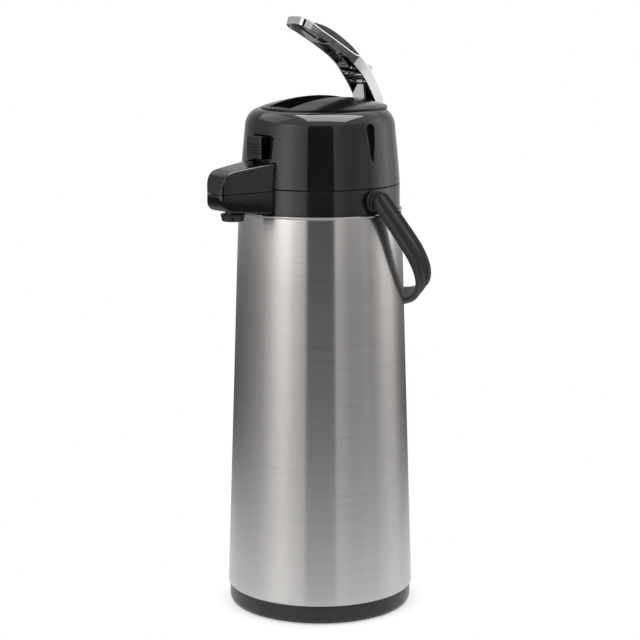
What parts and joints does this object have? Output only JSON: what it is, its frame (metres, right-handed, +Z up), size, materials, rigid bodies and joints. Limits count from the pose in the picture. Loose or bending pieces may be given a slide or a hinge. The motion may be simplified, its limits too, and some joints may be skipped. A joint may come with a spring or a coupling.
{
  "type": "thermal coffee airpot",
  "caption": "Tapered brushed-steel vacuum airpot with a black domed head, lever pump, front spout with nozzle, lid latch and a swinging bail handle.",
  "frame": {"origin": "on the body axis, in the plane the airpot stands on, at the middle of the bottom cap's flat face", "axes": "+Z up along the body axis; the spout points to -Y; +X is the side of one bail pivot"},
  "size_m": [0.1416, 0.1804, 0.4451],
  "materials": {
    "brushed_steel": "fine round-the-body brushing",
    "plain_steel": "bright drawn",
    "chrome": "polished",
    "gloss_black": "high gloss moulded",
    "satin_black": "satin moulded",
    "black_rubber": "matt",
    "clear_silicone": "milky silicone",
    "silvered_glass": "silvered",
    "white_plastic": "satin"
  },
  "bodies": {
    "pot": {"air_chimney": "satin_black", "base_ring": "satin_black", "bottom_cap": "satin_black", "collar": "satin_black", "collar_screw_1": "plain_steel", "collar_screw_2": "plain_steel", "collar_screw_3": "plain_steel", "dip_tube": "plain_steel", "flask_cushion": "black_rubber", "flask_inner_wall": "silvered_glass", "flask_outer_wall": "silvered_glass", "foot_ring": "black_rubber", "handle_boss_left": "satin_black", "handle_boss_right": "satin_black", "handle_pin_left": "plain_steel", "handle_pin_right": "plain_steel", "lid_hinge_pin": "plain_steel", "mouth_ring": "satin_black", "neck_gasket": "clear_silicone", "nozzle": "satin_black", "outer_shell": "brushed_steel", "spout_base": "gloss_black", "spout_cover": "gloss_black", "spout_tube": "clear_silicone", "stem_elbow": "satin_black", "stem_gasket": "clear_silicone", "stem_seat": "satin_black"},
    "head": {"head_shell": "gloss_black", "crown_cover": "gloss_black", "lever_bracket": "satin_black", "lever_hinge_pin": "plain_steel", "pump_base": "satin_black", "air_seal": "clear_silicone", "check_valve": "black_rubber", "bellows": "black_rubber", "return_spring": "plain_steel", "latch_spring": "plain_steel", "head_screw_1": "plain_steel", "head_screw_2": "plain_steel", "head_screw_3": "plain_steel"},
    "latch": {"latch_button": "gloss_black"},
    "plunger": {"plunger_plate": "satin_black", "plunger_pin": "plain_steel", "air_valve": "black_rubber"},
    "lever": {"lever_frame": "chrome", "lever_pad": "satin_black", "link_pin": "plain_steel", "lever_cross_bar": "chrome"},
    "link": {"push_link": "chrome"},
    "lock": {"lock_knob": "white_plastic"},
    "bail": {"bail_handle": "satin_black"}
  },
  "joints": [
    {"name": "lid_hinge", "type": "hinge", "parent": "pot", "child": "head", "pos_m": [0, 0.0645, 0.321], "axis": [-1, 0, 0], "range_deg": [0, 95]},
    {"name": "lever_hinge", "type": "hinge", "parent": "head", "child": "lever", "pos_m": [0, 0.05, 0.374], "axis": [1, 0, 0], "range_deg": [0, 37], "stiffness_Nm_per_rad": 0.6, "springref_deg": -34.38},
    {"name": "plunger_slide", "type": "slide", "parent": "head", "child": "plunger", "axis": [0, 0, -1], "range_m": [0, 0.0094], "deforming": ["bellows", "return_spring"]},
    {"name": "link_pivot", "type": "hinge", "parent": "lever", "child": "link", "pos_m": [0, 0.0418, 0.3965], "axis": [1, 0, 0], "range_deg": [-6, 0]},
    {"name": "latch_slide", "type": "slide", "parent": "head", "child": "latch", "axis": [0, 0, -1], "range_m": [0, 0.0022], "stiffness_N_per_m": 300, "springref_m": -0.004, "deforming": ["latch_spring"]},
    {"name": "lock_slide", "type": "slide", "parent": "lever", "child": "lock", "axis": [-1, 0, 0], "range_m": [0, 0.012]},
    {"name": "bail_hinge", "type": "hinge", "parent": "pot", "child": "bail", "pos_m": [0, 0, 0.315], "axis": [1, 0, 0], "range_deg": [0, 117]}
  ],
  "couplings": [
    {"joint": "plunger_slide", "follows": "lever_hinge", "m_per_rad": 0.014546},
    {"joint": "link_pivot", "follows": "lever_hinge", "ratio": -0.15}
  ]
}
